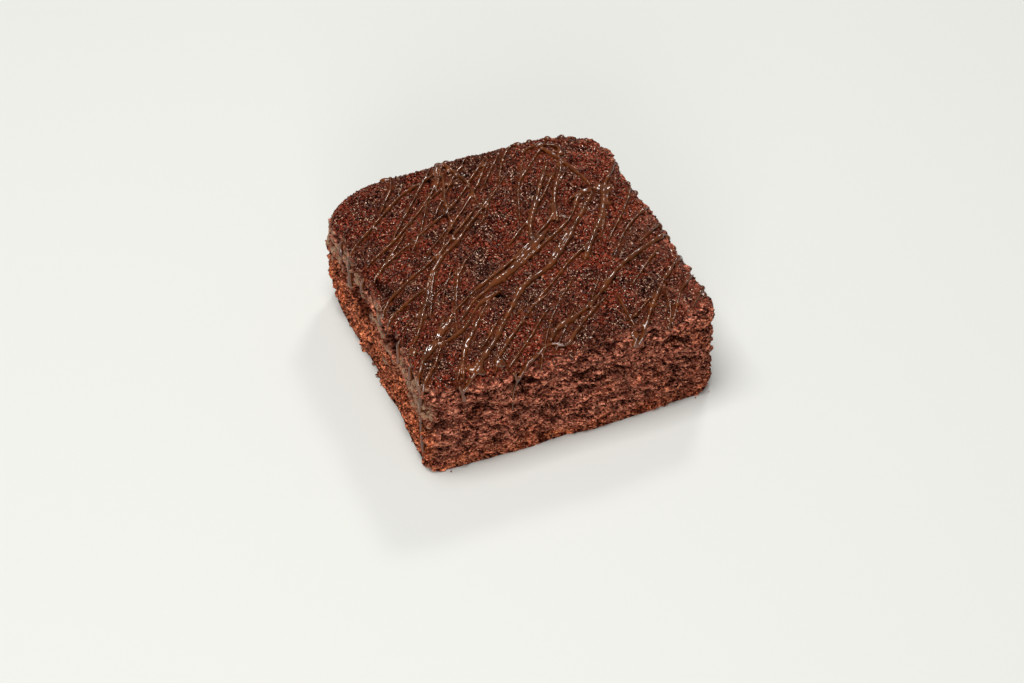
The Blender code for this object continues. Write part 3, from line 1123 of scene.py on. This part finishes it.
class BrownieGrainSettings(bpy.types.PropertyGroup):
    top_grains: IntProperty(name="Grains", description="Grains on the crust", default=8500, min=1)
    wall_crumbs: IntProperty(name="Crumbs", description="Crumbs on the walls", default=8500, min=1)
    smallest: length_property("Smallest", "Radius of the smallest grain", 0.00010)
    largest: length_property("Largest", "Radius of the largest grain", 0.00034)
    fallen_smallest: length_property("Smallest fallen", "Radius of the smallest fallen crumb", 0.00015)
    fallen_largest: length_property("Largest fallen", "Radius of the largest fallen crumb", 0.00045)
    grain_dark: colour_property("Dark grain", "Darkest grain on the crust", (0.025, 0.007, 0.004))
    grain_light: colour_property("Light grain", "Lightest grain on the crust", (0.13, 0.040, 0.022))
    crumb_dark: colour_property("Dark crumb", "Darkest loose crumb", (0.06, 0.018, 0.010))
    crumb_light: colour_property("Light crumb", "Lightest loose crumb", (0.36, 0.13, 0.07))
    seed: IntProperty(name="Seed", description="Another number gives another scatter", default=11)


class BrownieStageSettings(bpy.types.PropertyGroup):
    floor_colour: colour_property("Floor", "Plain pale floor", (0.612, 0.620, 0.597))
    light: FloatProperty(name="Light", description="Strength of all the lights", default=1.0, min=0.0)
    distance: length_property("Distance", "From the camera to the middle of the foot", 0.6273)
    elevation: angle_property("Elevation", "Of the camera above the table", 43.25)
    azimuth: angle_property("Azimuth", "Of the camera round the piece", -22.15)
    roll: angle_property("Roll", "Of the camera", -0.4)
    focal_length: FloatProperty(name="Focal length", description="In millimetres", default=94.9, min=1.0)


# ---------------------------------------------------------------- the operators

class BROWNIE_OT_cake(bpy.types.Operator):
    """Build the crust and the crumb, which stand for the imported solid"""

    bl_idname = "brownie.cake"
    bl_label = "Crust and Crumb"

    def execute(self, context):
        settings = context.scene.brownie_cake
        lines = line_tree(context.scene.brownie_drizzle)
        material = baked_chocolate(settings)
        crust = add_piece(make_crust(settings.crust_spacing / MM, lines), "crust", material)
        add_piece(make_crumb(settings.crumb_spacing / MM, lines), "crumb", material)
        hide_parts(NODE)
        return {"FINISHED"}


class BROWNIE_OT_drizzle(bpy.types.Operator):
    """Lay the chocolate drizzle over the crust"""

    bl_idname = "brownie.drizzle"
    bl_label = "Drizzle"

    def execute(self, context):
        settings = context.scene.brownie_drizzle
        add_object(make_drizzle(settings), "drizzle", set_chocolate(settings))
        return {"FINISHED"}


class BROWNIE_OT_grains(bpy.types.Operator):
    """Scatter sugar grains over the crust and crumbs over the walls"""

    bl_idname = "brownie.grains"
    bl_label = "Grains and Crumbs"

    def execute(self, context):
        settings = context.scene.brownie_grains
        seed = settings.seed
        sizes = (settings.smallest, settings.largest)
        fallen_sizes = (settings.fallen_smallest, settings.fallen_largest)
        sugar = grain_finish("sugar_grains", settings.grain_dark, settings.grain_light, 0.30, 0.5)
        loose = grain_finish("crumb_grains", settings.crumb_dark, settings.crumb_light, 0.7, 0.25)
        spots = random_spots(bpy.data.objects["crust"], settings.top_grains, on_top, seed)
        add_object(scatter("top_grains", spots, *sizes, 0.1, seed + 1), "top_grains", sugar)
        spots = random_spots(bpy.data.objects["crumb"], settings.wall_crumbs, on_wall, seed + 2)
        add_object(scatter("wall_crumbs", spots, *sizes, 0.1, seed + 3), "wall_crumbs", loose)
        fallen = scatter("fallen_crumbs", fallen_crumbs(seed), *fallen_sizes, 1.2, seed + 4)
        add_object(fallen, "fallen_crumbs", loose)
        return {"FINISHED"}


def on_top(place, normal):
    """1 where grains may lie on the crust, and 0 elsewhere."""
    return 1.0 if normal.z > 0.1 and place.z > TOP - 3.5 else 0.0


def on_wall(place, normal):
    """1 where crumbs may stick to a wall, and 0 elsewhere."""
    return 1.0 if abs(normal.z) < 0.8 and 0.6 < place.z < TOP - SEAM else 0.0


class BROWNIE_OT_stage(bpy.types.Operator):
    """Set up the floor, the lights and the camera"""

    bl_idname = "brownie.stage"
    bl_label = "Stage"

    def execute(self, context):
        settings = context.scene.brownie_stage
        make_floor(settings)
        make_world(context.scene, settings)
        for name, place, size, power, colour in LIGHTS:
            add_light(name, Vector(place), size, power * settings.light, colour)
        context.scene.camera = make_camera(settings)
        context.scene.view_settings.view_transform = "Standard"
        return {"FINISHED"}


def make_floor(settings):
    """A plain floor under the piece, which is stage and not part of it."""
    floor = bmesh.new()
    bmesh.ops.create_grid(floor, x_segments=1, y_segments=1, size=3.0)
    data = bpy.data.meshes.new("floor")
    floor.to_mesh(data)
    floor.free()
    data.materials.append(pale_surface(settings.floor_colour))
    piece = bpy.data.objects.new("floor", data)
    bpy.context.scene.collection.objects.link(piece)


def make_world(scene, settings):
    """Soft light from all round."""
    world = bpy.data.worlds.new("soft_room")
    world.use_nodes = True
    background = world.node_tree.nodes["Background"]
    background.inputs["Color"].default_value = (1.0, 0.995, 0.98, 1.0)
    background.inputs["Strength"].default_value = WORLD_STRENGTH * settings.light
    scene.world = world


def add_light(name, place, size, power, colour):
    """A square light that shines on the origin."""
    data = bpy.data.lights.new(name, "AREA")
    data.shape = "SQUARE"
    data.size = size
    data.energy = power
    data.color = colour
    light = bpy.data.objects.new(name, data)
    light.location = place
    light.rotation_euler = (-place).to_track_quat("-Z", "Y").to_euler()
    bpy.context.scene.collection.objects.link(light)


def make_camera(settings):
    """A camera that looks past the origin from the distance and the angles in the settings."""
    data = bpy.data.cameras.new("camera")
    data.lens = settings.focal_length
    data.sensor_width = 36.0
    data.clip_start = 0.01
    tipped = Matrix.Rotation(math.pi / 2 - settings.elevation, 4, "X")
    turned = Matrix.Rotation(settings.azimuth, 4, "Z") @ tipped
    aim = turned.to_3x3() @ Vector((*AIM, 0.0))
    back = turned.to_3x3() @ Vector((0.0, 0.0, settings.distance))
    camera = bpy.data.objects.new("camera", data)
    camera.matrix_world = Matrix.Translation(aim + back) @ turned @ Matrix.Rotation(settings.roll, 4, "Z")
    bpy.context.scene.collection.objects.link(camera)
    return camera


class BROWNIE_PT_panel(bpy.types.Panel):
    """The brownie's settings and the buttons that build it"""

    bl_label = "Chocolate Brownie"
    bl_idname = "BROWNIE_PT_panel"
    bl_space_type = "VIEW_3D"
    bl_region_type = "UI"
    bl_category = "Brownie"

    def draw(self, context):
        for operator, group in STEPS:
            box = self.layout.box()
            box.operator(operator.bl_idname)
            settings = getattr(context.scene, group)
            for name in settings.bl_rna.properties.keys():
                if name not in ("rna_type", "name"):
                    box.prop(settings, name)


GROUPS = {
    "brownie_cake": BrownieCakeSettings,
    "brownie_drizzle": BrownieDrizzleSettings,
    "brownie_grains": BrownieGrainSettings,
    "brownie_stage": BrownieStageSettings,
}
STEPS = (
    (BROWNIE_OT_cake, "brownie_cake"),
    (BROWNIE_OT_drizzle, "brownie_drizzle"),
    (BROWNIE_OT_grains, "brownie_grains"),
    (BROWNIE_OT_stage, "brownie_stage"),
)
CLASSES = (*GROUPS.values(), *(operator for operator, _ in STEPS), BROWNIE_PT_panel)


def register():
    for part in CLASSES:
        bpy.utils.register_class(part)
    for name, group in GROUPS.items():
        setattr(bpy.types.Scene, name, PointerProperty(type=group))


def unregister():
    for name in GROUPS:
        delattr(bpy.types.Scene, name)
    for part in reversed(CLASSES):
        bpy.utils.unregister_class(part)


def main():
    register()
    bpy.ops.brownie.cake()
    bpy.ops.brownie.drizzle()
    bpy.ops.brownie.grains()
    bpy.ops.brownie.stage()


if __name__ == "__main__":
    main()
